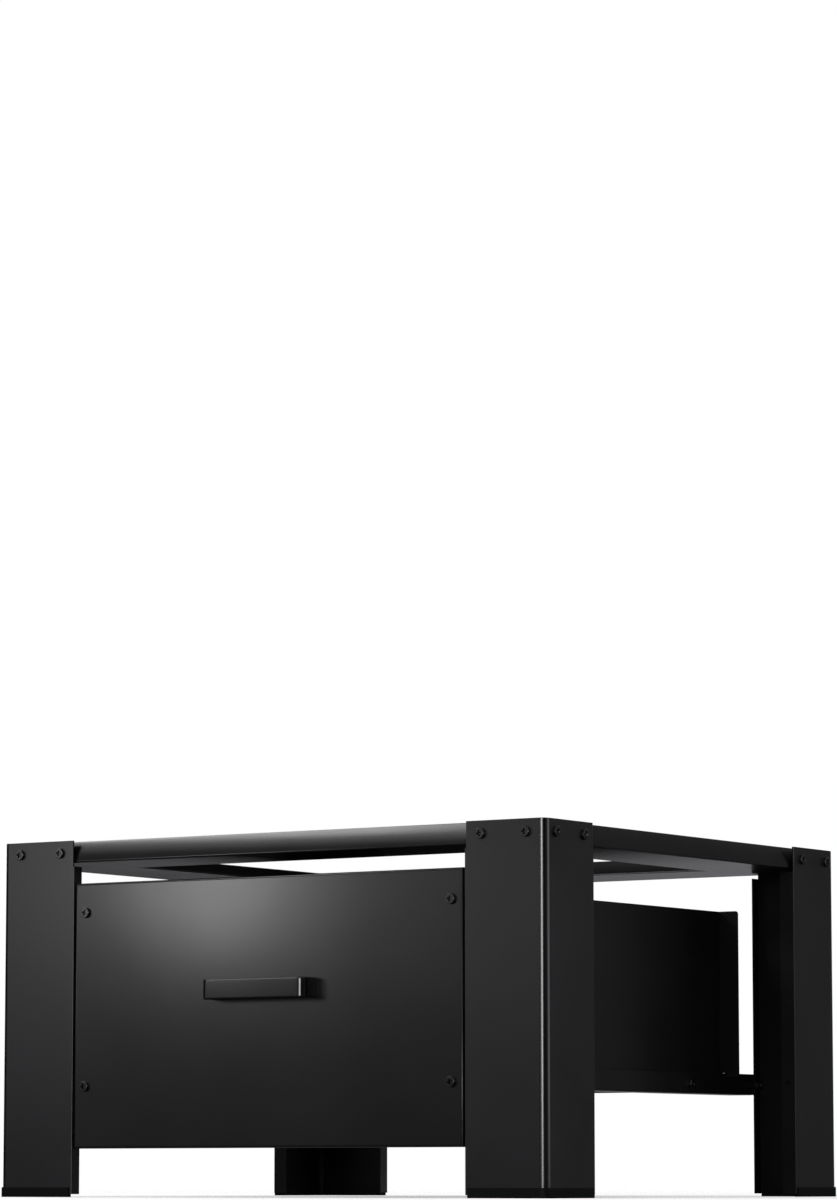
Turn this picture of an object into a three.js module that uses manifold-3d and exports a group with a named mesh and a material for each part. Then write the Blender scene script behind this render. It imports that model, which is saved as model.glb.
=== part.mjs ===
// Pedestal for a washing machine with a pull-out drawer.
// Millimetres, +Z up. The drawer's front faces -Y. The origin is the middle of
// the bounding box, on the ground.
import * as THREE from 'three';
import { mergeVertices } from 'three/addons/utils/BufferGeometryUtils.js';
import Module from 'manifold-3d';

const wasm = await Module();
wasm.setup();

// ---- Driving sizes --------------------------------------------------------

// The stand as a whole, over the outer faces of its legs
const pedestalWidth = 630;
const pedestalDepth = 546;
const pedestalHeight = 345;

// The gap between two pieces that touch, and the air round a sliding piece
const fitGap = 0.3;
const slideGap = 0.5;

// Legs: bent sheet, one wing to the front or rear and one to the side, and a
// lip along the free edge of each wing
const legSheet = 2;
const legCornerRadius = 7.5;
const legLipRadius = 2.75;
const frontWingWidth = 88;
const sideWingWidth = 84;
const frontLipDepth = 12.5;
const sideLipDepth = 15.5;
const legNotchHeight = 25.2;
const legNotchInset = 1.5;

// Plastic caps on the feet of the legs
const capHeight = 9.5;
const capBase = 2.5;
const capWall = 1.2;

// Top rails: angle section with a narrow web and a wide flange for the machine
const railSheet = 1.5;
const railWebHeight = 21;
const railTopDrop = 0.7;
const railFlangeReach = 94;
const railBendRadius = 2.5;

// Screws of the rails: height over the rail's underside, and distance of the
// outer ones from the corner and of the inner ones from the wing's free edge
const railScrewRise = 9.7;
const frontWingOuterScrew = 21.5;
const frontWingInnerInset = 17.5;
const sideWingOuterScrew = 17.6;
const sideWingInnerInset = 17.4;

// Pan-head screws, and the smaller ones of the handle
const screwHeadRadius = 5;
const screwHeadHeight = 2.2;
const screwShankRadius = 2;
const screwTail = 2.2;
const handleScrewHeadRadius = 3;
const handleScrewHeadHeight = 1.8;
const handleScrewShankRadius = 1.5;
const handleScrewDepth = 10;

// Runners: small angles that cross from a front leg to a rear leg
const runnerSheet = 1.2;
const runnerUnderside = 101.2;
const runnerWebHeight = 21;
const runnerFlangeWidth = 26;
const runnerBendRadius = 1.8;
const runnerEndInset = 5;
const runnerScrewInset = 7.5;
const runnerScrewRise = 10.4;
const spareHoleInset = 8;

// Glides on the runners. The front pair also stops the drawer.
const glideBase = 1;
const glideEdgeInset = 1;
const glideLength = 30;
const glideInset = 136.5;
const glideScrewRise = 9.3;
const glideScrewBite = 2;
const stopReach = 7;
const stopHeight = 12;

// Drawer front: a pan with returns along its four edges
const panelSheet = 1.5;
const panelReturn = 12;
const panelBendRadius = 2.5;
const panelSideGap = 2;
const panelTopGap = 20.5;
const panelGroundGap = 46.5;

// Drawer box
const boxSheet = 1.2;
const boxBendRadius = 1.8;
const boxPanelInset = 3;
const boxTopDrop = 19;
const boxRearGap = 70;
const boxFrontFlange = 26;
const boxRearFlange = 12;
const boxBottomFlange = 18;
const boxTabDrop = 10;
const boxReliefLength = 12;
const earReach = 22;
const earRunnerGap = 0.8;
const earCornerRadius = 3;

// Screws of the drawer front, from the box's side, top and underside
const panelScrewInset = 10;
const upperPanelScrewDrop = 9.8;
const lowerPanelScrewRise = 2.2;

// Handle: a flat bow, its middle `handleDrop` below the top of the drawer front
const handleWidth = 119;
const handleHeight = 19;
const handleReach = 20;
const handleBar = 5;
const handleCornerRadius = 7.5;
const handleDrop = 107;

// A screw head's straight edge and flat top, as shares of its height and radius
const headEdgeShare = 0.7;
const headTopShare = 0.85;

// Fineness of curved faces, and how far a cutting tool runs past what it cuts
const bendSteps = 4;
const holeSides = 12;
const screwSides = 12;
const cutMargin = 1;

// ---- Places worked out from the sizes ---------------------------------------

const halfWidth = pedestalWidth / 2;
const halfDepth = pedestalDepth / 2;

const legFoot = capBase + fitGap;
const legNotch = pedestalHeight - legNotchHeight;
const lipInnerX = halfWidth - frontWingWidth;

const railTop = pedestalHeight - railTopDrop;
const railUnderside = railTop - railWebHeight;
const railSetback = legSheet + fitGap;
const railScrewZ = railUnderside + railScrewRise;

const frontWingInnerScrew = frontWingWidth - frontWingInnerInset;
const sideWingInnerScrew = sideWingWidth - sideWingInnerInset;
const screwHoleRadius = screwShankRadius + fitGap;

const runnerTop = runnerUnderside + runnerWebHeight;
const runnerFlangeTop = runnerUnderside + runnerSheet;
const runnerOuterX = lipInnerX - fitGap;
const runnerInnerX = runnerOuterX - runnerSheet;
const runnerScrewY = halfDepth - runnerScrewInset;
const runnerScrewZ = runnerUnderside + runnerScrewRise;

const glideOffset = halfDepth - glideInset;
const glideScrewZ = runnerUnderside + glideScrewRise;
const glideUnderside = runnerFlangeTop + fitGap;
const glideBaseTop = glideUnderside + glideBase;

const panelHalfWidth = lipInnerX - panelSideGap;
const panelTop = railUnderside - panelTopGap;
const panelRearY = -halfDepth + panelReturn;

const boxOuterX = panelHalfWidth - boxPanelInset;
const boxInnerX = boxOuterX - boxSheet;
const boxUnderside = glideBaseTop + fitGap;
const boxTop = panelTop - boxTopDrop;
const boxFrontY = -halfDepth + panelSheet + fitGap;
const boxRear = halfDepth - boxRearGap;
const boxSideRearY = boxRear - boxSheet - fitGap;
const boxFloorUnderside = boxUnderside + boxSheet + fitGap;
const boxBendTop = boxUnderside + 2 * boxBendRadius;

const upperPanelScrewZ = boxTop - upperPanelScrewDrop;
const lowerPanelScrewZ = boxUnderside + lowerPanelScrewRise;
const panelScrewX = boxOuterX - panelScrewInset;

const handleZ = panelTop - handleDrop;
const handleLegX = handleWidth / 2 - handleBar / 2;

// ---- Outlines -----------------------------------------------------------------

const point = (u, v) => new THREE.Vector2(u, v);

function rectangle(u0, u1, v0, v1) {
  return [point(u0, v0), point(u1, v0), point(u1, v1), point(u0, v1)];
}

function circle(u, v, radius) {
  const points = [];
  for (let side = 0; side < holeSides; side += 1) {
    const angle = (side / holeSides) * 2 * Math.PI;
    points.push(point(u + radius * Math.cos(angle), v + radius * Math.sin(angle)));
  }
  return points;
}

// A right-angled turn of radius `radius` about `corner`, as points and the
// normals to the left of the way along
function turnStations(before, corner, after, radius) {
  const ahead = corner.clone().sub(before).normalize();
  const turn = Math.sign(ahead.cross(after.clone().sub(corner)));
  const leftward = point(-ahead.y, ahead.x);
  const centre = corner.clone().addScaledVector(ahead, -radius);
  centre.addScaledVector(leftward, turn * radius);
  const stations = [];
  for (let step = 0; step <= bendSteps; step += 1) {
    const angle = (turn * (step / bendSteps) * Math.PI) / 2;
    const normal = leftward.clone().rotateAround(point(0, 0), angle);
    const place = centre.clone().addScaledVector(normal, -turn * radius);
    stations.push({ place, normal });
  }
  return stations;
}

// The section of a bent sheet whose middle line runs through `corners`.
// `radii` holds the bend radius on the middle line at each inner corner.
function sheetSection(corners, thickness, radii) {
  const last = corners.length - 1;
  const endNormal = (from, to) => {
    const along = to.clone().sub(from).normalize();
    return point(-along.y, along.x);
  };
  const stations = [{ place: corners[0], normal: endNormal(corners[0], corners[1]) }];
  for (let index = 1; index < last; index += 1) {
    const [before, corner, after] = corners.slice(index - 1, index + 2);
    stations.push(...turnStations(before, corner, after, radii[index - 1]));
  }
  stations.push({ place: corners[last], normal: endNormal(corners[last - 1], corners[last]) });
  const offset = ({ place, normal }, distance) => place.clone().addScaledVector(normal, distance);
  const left = stations.map((station) => offset(station, thickness / 2));
  const right = stations.map((station) => offset(station, -thickness / 2));
  return [...left, ...right.reverse()];
}

// A rectangle from v0 to v1 whose two corners at u0 are rounded
function roundedFront(u0, u1, v0, v1, radius) {
  const first = turnStations(point(u1, v0), point(u0, v0), point(u0, v1), radius);
  const second = turnStations(point(u0, v0), point(u0, v1), point(u1, v1), radius);
  const places = [...first, ...second].map((station) => station.place);
  return [point(u1, v0), ...places, point(u1, v1)];
}

// ---- Solids -------------------------------------------------------------------

// Outlines for an extrusion along x hold (y, z), along y (z, x), along z (x, y).
const xAxis = new THREE.Vector3(1, 0, 0);
const yAxis = new THREE.Vector3(0, 1, 0);
const zAxis = new THREE.Vector3(0, 0, 1);
const extrusionFrames = {
  x: new THREE.Matrix4().makeBasis(yAxis, zAxis, xAxis),
  y: new THREE.Matrix4().makeBasis(zAxis, xAxis, yAxis),
  z: new THREE.Matrix4().makeBasis(xAxis, yAxis, zAxis),
};

function prism(axis, outline, start, end) {
  const options = { depth: 1, bevelEnabled: false };
  const geometry = new THREE.ExtrudeGeometry(new THREE.Shape(outline), options);
  const stretch = new THREE.Matrix4().makeScale(1, 1, end - start).setPosition(0, 0, start);
  geometry.applyMatrix4(stretch.premultiply(extrusionFrames[axis]));
  return toSolid(geometry);
}

function toSolid(geometry) {
  geometry.deleteAttribute('normal');
  geometry.deleteAttribute('uv');
  const merged = mergeVertices(geometry, 1e-4);
  const vertProperties = new Float32Array(merged.attributes.position.array);
  const triVerts = new Uint32Array(merged.index.array);
  return new wasm.Manifold(new wasm.Mesh({ numProp: 3, vertProperties, triVerts }));
}

function toGeometry(solid) {
  const { vertProperties, triVerts } = solid.getMesh();
  const geometry = new THREE.BufferGeometry();
  geometry.setAttribute('position', new THREE.BufferAttribute(vertProperties, 3));
  geometry.setIndex(new THREE.BufferAttribute(triVerts, 1));
  geometry.computeVertexNormals();
  return geometry;
}

const join = (solids) => solids.reduce((whole, next) => whole.add(next));
const cut = (solid, tools) => tools.reduce((rest, tool) => rest.subtract(tool), solid);

// ---- Materials ----------------------------------------------------------------

const blackCoat = { color: 0x1d1e21, roughness: 0.38, metalness: 0.1 };
const blackScrew = { color: 0x17181a, roughness: 0.3, metalness: 0.4 };
const capPlastic = { color: 0x0d0e0f, roughness: 0.6, metalness: 0 };
const glideNylon = { color: 0x141516, roughness: 0.5, metalness: 0 };

function mesh(name, geometry, finish) {
  const piece = new THREE.Mesh(geometry, new THREE.MeshStandardMaterial(finish));
  piece.name = name;
  return piece;
}

// ---- Screws -------------------------------------------------------------------

// The head's flat underside is at the origin and the head rises along +Y.
function screwGeometry(headRadius, headHeight, shankRadius, shankLength) {
  const edgeHeight = headHeight * headEdgeShare;
  const topRadius = headRadius * headTopShare;
  const profile = [
    point(0, -shankLength),
    point(shankRadius, -shankLength),
    point(shankRadius, 0),
    point(headRadius, 0),
    point(headRadius, edgeHeight),
    point(topRadius, headHeight),
    point(0, headHeight),
  ];
  return new THREE.LatheGeometry(profile, screwSides);
}

function screw(name, place, headWay, shankLength) {
  const geometry = screwGeometry(screwHeadRadius, screwHeadHeight, screwShankRadius, shankLength);
  const piece = mesh(name, geometry, blackScrew);
  piece.position.copy(place);
  piece.quaternion.setFromUnitVectors(yAxis, headWay);
  return piece;
}

// ---- The four corners ------------------------------------------------------------

// `across` is -1 on the left and +1 on the right, `along` -1 in front and +1 behind.
const corners = [
  { name: 'front_left', across: -1, along: -1 },
  { name: 'front_right', across: 1, along: -1 },
  { name: 'rear_left', across: -1, along: 1 },
  { name: 'rear_right', across: 1, along: 1 },
];

// A place in plan, counted inward from the corner's two outer faces
function fromCorner(corner, p, q) {
  return point(corner.across * (halfWidth - p), corner.along * (halfDepth - q));
}

function cornerSection(corner, path, thickness, radii) {
  const section = sheetSection(path, thickness, radii);
  return section.map((place) => fromCorner(corner, place.x, place.y));
}

// ---- Legs ---------------------------------------------------------------------

const legMiddle = legSheet / 2;
const legCornerBend = legCornerRadius - legMiddle;
const legLipBend = legLipRadius - legMiddle;

function lowerLegSection(corner) {
  const path = [
    point(frontWingWidth - legMiddle, frontLipDepth),
    point(frontWingWidth - legMiddle, legMiddle),
    point(legMiddle, legMiddle),
    point(legMiddle, sideWingWidth - legMiddle),
    point(sideLipDepth, sideWingWidth - legMiddle),
  ];
  return cornerSection(corner, path, legSheet, [legLipBend, legCornerBend, legLipBend]);
}

function upperLegSection(corner) {
  const path = [
    point(frontWingWidth - legNotchInset, legMiddle),
    point(legMiddle, legMiddle),
    point(legMiddle, sideWingWidth - legNotchInset),
  ];
  return cornerSection(corner, path, legSheet, [legCornerBend]);
}

// A round hole across the sheet that lies between `near` and `far`
function holeThrough(axis, u, v, near, far) {
  const start = Math.min(near, far) - cutMargin;
  const end = Math.max(near, far) + cutMargin;
  return prism(axis, circle(u, v, screwHoleRadius), start, end);
}

// Holes for the rail screws, from the corner's outer faces inward to `depth`
function railScrewHoles(corner, depth) {
  const outer = fromCorner(corner, 0, 0);
  const inner = fromCorner(corner, depth, depth);
  const frontHoles = [frontWingOuterScrew, frontWingInnerScrew].map((p) => {
    const { x } = fromCorner(corner, p, 0);
    return holeThrough('y', railScrewZ, x, outer.y, inner.y);
  });
  const sideHoles = [sideWingOuterScrew, sideWingInnerScrew].map((q) => {
    const { y } = fromCorner(corner, 0, q);
    return holeThrough('x', y, railScrewZ, outer.x, inner.x);
  });
  return { frontHoles, sideHoles };
}

// The runner's hole in the front or rear lip, and the spare hole in the side lip
function lipHoles(corner) {
  const lipFace = fromCorner(corner, frontWingWidth, sideWingWidth);
  const lipBack = fromCorner(corner, frontWingWidth - legSheet, sideWingWidth - legSheet);
  const spare = fromCorner(corner, spareHoleInset, 0);
  const runnerY = corner.along * runnerScrewY;
  return [
    holeThrough('x', runnerY, runnerScrewZ, lipFace.x, lipBack.x),
    holeThrough('y', runnerScrewZ, spare.x, lipFace.y, lipBack.y),
  ];
}

function leg(corner) {
  const lower = prism('z', lowerLegSection(corner), legFoot, legNotch);
  const upper = prism('z', upperLegSection(corner), legNotch, pedestalHeight);
  const { frontHoles, sideHoles } = railScrewHoles(corner, legSheet);
  const tools = [...frontHoles, ...sideHoles, ...lipHoles(corner)];
  const solid = cut(lower.add(upper), tools);
  return mesh(`leg_${corner.name}`, toGeometry(solid), blackCoat);
}

// ---- Foot caps ------------------------------------------------------------------

// The cap is a channel that the foot of the leg stands in, as far as the lips.
function footCap(corner) {
  const end = legLipRadius + fitGap;
  const path = [
    point(frontWingWidth - end, legMiddle),
    point(legMiddle, legMiddle),
    point(legMiddle, sideWingWidth - end),
  ];
  const slotWidth = legSheet + 2 * fitGap;
  const block = cornerSection(corner, path, slotWidth + 2 * capWall, [legCornerBend]);
  const slotPath = [
    point(frontWingWidth, legMiddle),
    point(legMiddle, legMiddle),
    point(legMiddle, sideWingWidth),
  ];
  const slot = cornerSection(corner, slotPath, slotWidth, [legCornerBend]);
  const groove = prism('z', slot, capBase, capHeight + cutMargin);
  const solid = prism('z', block, 0, capHeight).subtract(groove);
  return mesh(`foot_cap_${corner.name}`, toGeometry(solid), capPlastic);
}

// ---- Top rails ------------------------------------------------------------------

const railMiddle = railSheet / 2;

// The angle's section as (distance inward, z)
function railSection() {
  const path = [
    point(railSetback + railMiddle, railTop),
    point(railSetback + railMiddle, railUnderside + railMiddle),
    point(railFlangeReach, railUnderside + railMiddle),
  ];
  return sheetSection(path, railSheet, [railBendRadius - railMiddle]);
}

// The plan of a rail as (distance along, distance inward). Its web stops short
// of the leg's round corner, and its flange ends in mitres.
function railPlan(halfLength) {
  const end = legCornerRadius + slideGap;
  const mitre = fitGap * Math.SQRT1_2;
  const webEnd = halfLength - end;
  const depth = railFlangeReach + cutMargin;
  const flangeEnd = halfLength - depth - mitre;
  return [
    point(-webEnd, 0),
    point(webEnd, 0),
    point(webEnd, end - mitre),
    point(flangeEnd, depth),
    point(-flangeEnd, depth),
    point(-webEnd, end - mitre),
  ];
}

// Front or rear rail
function crossRail(name, along) {
  const inward = (distance) => along * (halfDepth - distance);
  const section = railSection().map(({ x, y }) => point(inward(x), y));
  const plan = railPlan(halfWidth).map(({ x, y }) => point(x, inward(y)));
  const bar = prism('x', section, -halfWidth, halfWidth);
  const outline = prism('z', plan, railUnderside - cutMargin, railTop + cutMargin);
  const holes = corners.filter((corner) => corner.along === along)
    .flatMap((corner) => railScrewHoles(corner, railSetback + railSheet).frontHoles);
  return mesh(name, toGeometry(cut(bar.intersect(outline), holes)), blackCoat);
}

// Left or right rail
function sideRail(name, across) {
  const inward = (distance) => across * (halfWidth - distance);
  const section = railSection().map(({ x, y }) => point(y, inward(x)));
  const plan = railPlan(halfDepth).map(({ x, y }) => point(inward(y), x));
  const bar = prism('y', section, -halfDepth, halfDepth);
  const outline = prism('z', plan, railUnderside - cutMargin, railTop + cutMargin);
  const holes = corners.filter((corner) => corner.across === across)
    .flatMap((corner) => railScrewHoles(corner, railSetback + railSheet).sideHoles);
  return mesh(name, toGeometry(cut(bar.intersect(outline), holes)), blackCoat);
}

// Each leg has two screws to the front or rear rail and two to the side rail.
function railScrews(corner) {
  const length = railSetback + railSheet + screwTail;
  const outer = fromCorner(corner, 0, 0);
  const frontWay = new THREE.Vector3(0, corner.along, 0);
  const sideWay = new THREE.Vector3(corner.across, 0, 0);
  const end = corner.along < 0 ? 'front' : 'rear';
  const frontScrew = (label, p) => {
    const place = new THREE.Vector3(fromCorner(corner, p, 0).x, outer.y, railScrewZ);
    return screw(`${end}_rail_screw_${corner.name}_${label}`, place, frontWay, length);
  };
  const sideScrew = (label, q) => {
    const place = new THREE.Vector3(outer.x, fromCorner(corner, 0, q).y, railScrewZ);
    return screw(`side_rail_screw_${corner.name}_${label}`, place, sideWay, length);
  };
  return [
    frontScrew('outer', frontWingOuterScrew),
    frontScrew('inner', frontWingInnerScrew),
    sideScrew('outer', sideWingOuterScrew),
    sideScrew('inner', sideWingInnerScrew),
  ];
}

// ---- Runners and glides -----------------------------------------------------------

const sides = [
  { name: 'left', across: -1 },
  { name: 'right', across: 1 },
];
const ends = [
  { name: 'front', along: -1 },
  { name: 'rear', along: 1 },
];

// The flange is cut back at both ends, where the drawer front's returns pass.
function runner(side) {
  const middle = runnerSheet / 2;
  const path = [
    point(runnerTop, runnerOuterX - middle),
    point(runnerUnderside + middle, runnerOuterX - middle),
    point(runnerUnderside + middle, runnerOuterX - runnerFlangeWidth),
  ];
  const section = sheetSection(path, runnerSheet, [runnerBendRadius - middle])
    .map(({ x, y }) => point(x, side.across * y));
  const end = halfDepth - runnerEndInset;
  const flangeEnd = halfDepth - panelReturn - legSheet;
  const flange = rectangle(
    runnerUnderside - cutMargin,
    runnerTop + cutMargin,
    0,
    side.across * runnerInnerX,
  );
  const cuts = [
    prism('y', flange, -end - cutMargin, -flangeEnd),
    prism('y', flange, flangeEnd, end + cutMargin),
  ];
  const webHole = (y, z) => {
    return holeThrough('x', y, z, side.across * runnerInnerX, side.across * runnerOuterX);
  };
  const holes = ends.flatMap(({ along }) => [
    webHole(along * runnerScrewY, runnerScrewZ),
    webHole(along * glideOffset, glideScrewZ),
  ]);
  const solid = cut(prism('y', section, -end, end), [...cuts, ...holes]);
  return mesh(`runner_${side.name}`, toGeometry(solid), blackCoat);
}

// The screw's head lies inside the leg, and its tip ends level with the runner.
function runnerScrew(corner) {
  const headX = lipInnerX + legSheet;
  const place = new THREE.Vector3(
    corner.across * headX,
    corner.along * runnerScrewY,
    runnerScrewZ,
  );
  const headWay = new THREE.Vector3(corner.across, 0, 0);
  return screw(`runner_screw_${corner.name}`, place, headWay, headX - runnerInnerX);
}

// The glide's section as (z, distance from the middle): a base under the drawer,
// an upright beside it and, on the front pair, a stop over the runner's web.
function glideSection(hasStop) {
  const innerX = runnerOuterX - runnerFlangeWidth + glideEdgeInset;
  const uprightInnerX = boxOuterX + slideGap;
  const uprightOuterX = runnerInnerX - fitGap;
  const stopUnderside = runnerTop + fitGap;
  const stop = [
    point(stopUnderside, uprightOuterX),
    point(stopUnderside, uprightOuterX + stopReach),
    point(stopUnderside + stopHeight, uprightOuterX + stopReach),
    point(stopUnderside + stopHeight, uprightInnerX),
  ];
  const plainTop = [
    point(runnerTop - slideGap, uprightOuterX),
    point(runnerTop - slideGap, uprightInnerX),
  ];
  return [
    point(glideUnderside, innerX),
    point(glideUnderside, uprightOuterX),
    ...(hasStop ? stop : plainTop),
    point(glideBaseTop, uprightInnerX),
    point(glideBaseTop, innerX),
  ];
}

function glide(corner) {
  const section = glideSection(corner.along < 0)
    .map(({ x, y }) => point(x, corner.across * y));
  const middle = corner.along * glideOffset;
  const block = prism('y', section, middle - glideLength / 2, middle + glideLength / 2);
  const inner = corner.across * (boxOuterX + slideGap);
  const outer = corner.across * (runnerInnerX - fitGap);
  const hole = holeThrough('x', middle, glideScrewZ, inner, outer);
  return mesh(`glide_${corner.name}`, toGeometry(block.subtract(hole)), glideNylon);
}

function glideScrew(corner) {
  const place = new THREE.Vector3(
    corner.across * runnerOuterX,
    corner.along * glideOffset,
    glideScrewZ,
  );
  const headWay = new THREE.Vector3(corner.across, 0, 0);
  const length = runnerSheet + fitGap + glideScrewBite;
  return screw(`glide_screw_${corner.name}`, place, headWay, length);
}

// ---- Drawer front and handle --------------------------------------------------------

// The block that the pan fills out, drawn in by `inset` on its front and edges
function panelBlock(inset) {
  const front = -halfDepth + inset;
  const half = panelHalfWidth - inset;
  const radius = panelBendRadius - inset;
  const rear = inset > 0 ? panelRearY + cutMargin : panelRearY;
  const plan = roundedFront(front, rear, -half, half, radius).map(({ x, y }) => point(y, x));
  const side = roundedFront(front, rear, panelGroundGap + inset, panelTop - inset, radius);
  const standing = prism('z', plan, panelGroundGap + inset, panelTop - inset);
  return standing.intersect(prism('x', side, -half, half));
}

const panelScrewPlaces = sides.flatMap((side) => [
  { name: `${side.name}_upper`, x: side.across * panelScrewX, z: upperPanelScrewZ },
  { name: `${side.name}_lower`, x: side.across * panelScrewX, z: lowerPanelScrewZ },
]);

function drawerFront() {
  const frontFace = -halfDepth;
  const backFace = frontFace + panelSheet;
  const boxHoles = panelScrewPlaces.map(({ x, z }) => holeThrough('y', z, x, frontFace, backFace));
  const handleHoles = sides.map(({ across }) => {
    const hole = circle(handleZ, across * handleLegX, handleScrewShankRadius + fitGap);
    return prism('y', hole, frontFace - cutMargin, backFace + cutMargin);
  });
  const solid = cut(panelBlock(0), [panelBlock(panelSheet), ...boxHoles, ...handleHoles]);
  return mesh('drawer_front', toGeometry(solid), blackCoat);
}

function drawerFrontScrew({ name, x, z }) {
  const length = panelSheet + fitGap + boxSheet + screwTail;
  const place = new THREE.Vector3(x, -halfDepth, z);
  return screw(`drawer_front_screw_${name}`, place, new THREE.Vector3(0, -1, 0), length);
}

function drawerHandle() {
  const footY = -halfDepth - fitGap;
  const faceY = -halfDepth - handleReach;
  const half = handleWidth / 2;
  const bottom = handleZ - handleHeight / 2;
  const top = handleZ + handleHeight / 2;
  const outer = roundedFront(faceY, footY, -half, half, handleCornerRadius)
    .map(({ x, y }) => point(y, x));
  const gap = rectangle(
    -half + handleBar,
    half - handleBar,
    faceY + handleBar,
    footY + cutMargin,
  );
  const fingerGap = prism('z', gap, bottom - cutMargin, top + cutMargin);
  const holes = sides.map(({ across }) => {
    const hole = circle(handleZ, across * handleLegX, handleScrewShankRadius + fitGap / 2);
    return prism('y', hole, footY - handleScrewDepth, footY + cutMargin);
  });
  const solid = cut(prism('z', outer, bottom, top), [fingerGap, ...holes]);
  return mesh('drawer_handle', toGeometry(solid), blackCoat);
}

// The handle's screws come from inside the drawer, through the front.
function handleScrew(side) {
  const length = panelSheet + handleScrewDepth;
  const geometry = screwGeometry(
    handleScrewHeadRadius,
    handleScrewHeadHeight,
    handleScrewShankRadius,
    length,
  );
  const piece = mesh(`handle_screw_${side.name}`, geometry, blackScrew);
  piece.position.set(side.across * handleLegX, -halfDepth + panelSheet, handleZ);
  return piece;
}

// ---- Drawer box ---------------------------------------------------------------------

const boxMiddle = boxSheet / 2;
const boxBend = boxBendRadius - boxMiddle;

// The side's wall with its front and rear flanges, above the bottom bend
function boxSideWall(across) {
  const wallX = boxOuterX - boxMiddle;
  const frontY = boxFrontY + boxMiddle;
  const rearY = boxSideRearY - boxMiddle;
  const path = [
    point(boxOuterX - boxFrontFlange, frontY),
    point(wallX, frontY),
    point(wallX, rearY),
    point(boxOuterX - boxRearFlange, rearY),
  ];
  const section = sheetSection(path, boxSheet, [boxBend, boxBend]);
  const placed = section.map(({ x, y }) => point(across * x, y));
  return prism('z', placed, boxUnderside + boxBendRadius, boxTop);
}

// The bottom flange that the floor lies on, with its bend and some of the wall
function boxSideFlange(across) {
  const wallX = boxOuterX - boxMiddle;
  const flangeZ = boxUnderside + boxMiddle;
  const path = [
    point(boxBendTop, wallX),
    point(flangeZ, wallX),
    point(flangeZ, boxOuterX - boxBottomFlange),
  ];
  const section = sheetSection(path, boxSheet, [boxBend]);
  const placed = section.map(({ x, y }) => point(x, across * y));
  const start = boxFrontY + boxReliefLength;
  const end = boxSideRearY - boxBendRadius;
  return prism('y', placed, start, end);
}

// The front flange reaches below the box, behind the drawer front.
function boxSideTab(across) {
  const inner = across * (boxOuterX - boxFrontFlange);
  const outer = across * (boxOuterX - boxBendRadius);
  const bottom = boxUnderside - boxTabDrop;
  const plan = rectangle(inner, outer, boxFrontY, boxFrontY + boxSheet);
  return prism('z', plan, bottom, boxBendTop);
}

function boxSide(side) {
  const { across } = side;
  const whole = join([boxSideWall(across), boxSideFlange(across), boxSideTab(across)]);
  const holes = panelScrewPlaces.filter(({ x }) => Math.sign(x) === across)
    .map(({ x, z }) => holeThrough('y', z, x, boxFrontY, boxFrontY + boxSheet));
  return mesh(`drawer_side_${side.name}`, toGeometry(cut(whole, holes)), blackCoat);
}

// The floor reaches the drawer front between the two front flanges.
function boxFloor() {
  const edgeX = boxInnerX - fitGap;
  const tongueX = boxOuterX - boxFrontFlange - slideGap;
  const rearY = boxSideRearY - boxSheet - fitGap;
  const outline = [
    point(-tongueX, boxFrontY),
    point(tongueX, boxFrontY),
    point(tongueX, boxFrontY + boxReliefLength),
    point(edgeX, boxFrontY + boxReliefLength),
    point(edgeX, rearY),
    point(-edgeX, rearY),
    point(-edgeX, boxFrontY + boxReliefLength),
    point(-tongueX, boxFrontY + boxReliefLength),
  ];
  const solid = prism('z', outline, boxFloorUnderside, boxFloorUnderside + boxSheet);
  return mesh('drawer_floor', toGeometry(solid), blackCoat);
}

// The back reaches out over the runners in two ears, which meet the stops.
function boxBack() {
  const earX = boxOuterX + earReach;
  const earZ = runnerTop + earRunnerGap;
  const corner = (across) => {
    const before = point(boxTop, 0);
    const tip = point(boxTop, across * earX);
    const after = point(earZ, across * earX);
    const places = turnStations(before, tip, after, earCornerRadius).map(({ place }) => place);
    return across > 0 ? places : places.reverse();
  };
  const outline = [
    ...corner(1),
    point(earZ, earX),
    point(earZ, boxOuterX),
    point(boxUnderside, boxOuterX),
    point(boxUnderside, -boxOuterX),
    point(earZ, -boxOuterX),
    point(earZ, -earX),
    ...corner(-1),
  ];
  const solid = prism('y', outline, boxRear - boxSheet, boxRear);
  return mesh('drawer_back', toGeometry(solid), blackCoat);
}

// ---- Assembly -------------------------------------------------------------------------

const stand = new THREE.Group();
stand.add(...corners.map(leg));
stand.add(...corners.map(footCap));
stand.add(crossRail('rail_front', -1), crossRail('rail_rear', 1));
stand.add(sideRail('rail_left', -1), sideRail('rail_right', 1));
stand.add(...corners.flatMap(railScrews));
stand.add(...sides.map(runner));
stand.add(...corners.map(runnerScrew));
stand.add(...corners.map(glide));
stand.add(...corners.map(glideScrew));

const drawer = new THREE.Group();
drawer.add(drawerFront(), drawerHandle());
drawer.add(...sides.map(handleScrew));
drawer.add(...panelScrewPlaces.map(drawerFrontScrew));
drawer.add(...sides.map(boxSide));
drawer.add(boxFloor(), boxBack());

// The handle reaches further forward than the screw heads behind.
const pedestal = new THREE.Group();
pedestal.add(stand, drawer);
pedestal.position.y = (handleReach - screwHeadHeight) / 2;

export default pedestal;
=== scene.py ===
import math

import bmesh
import bpy
from mathutils import Matrix, Vector


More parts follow.
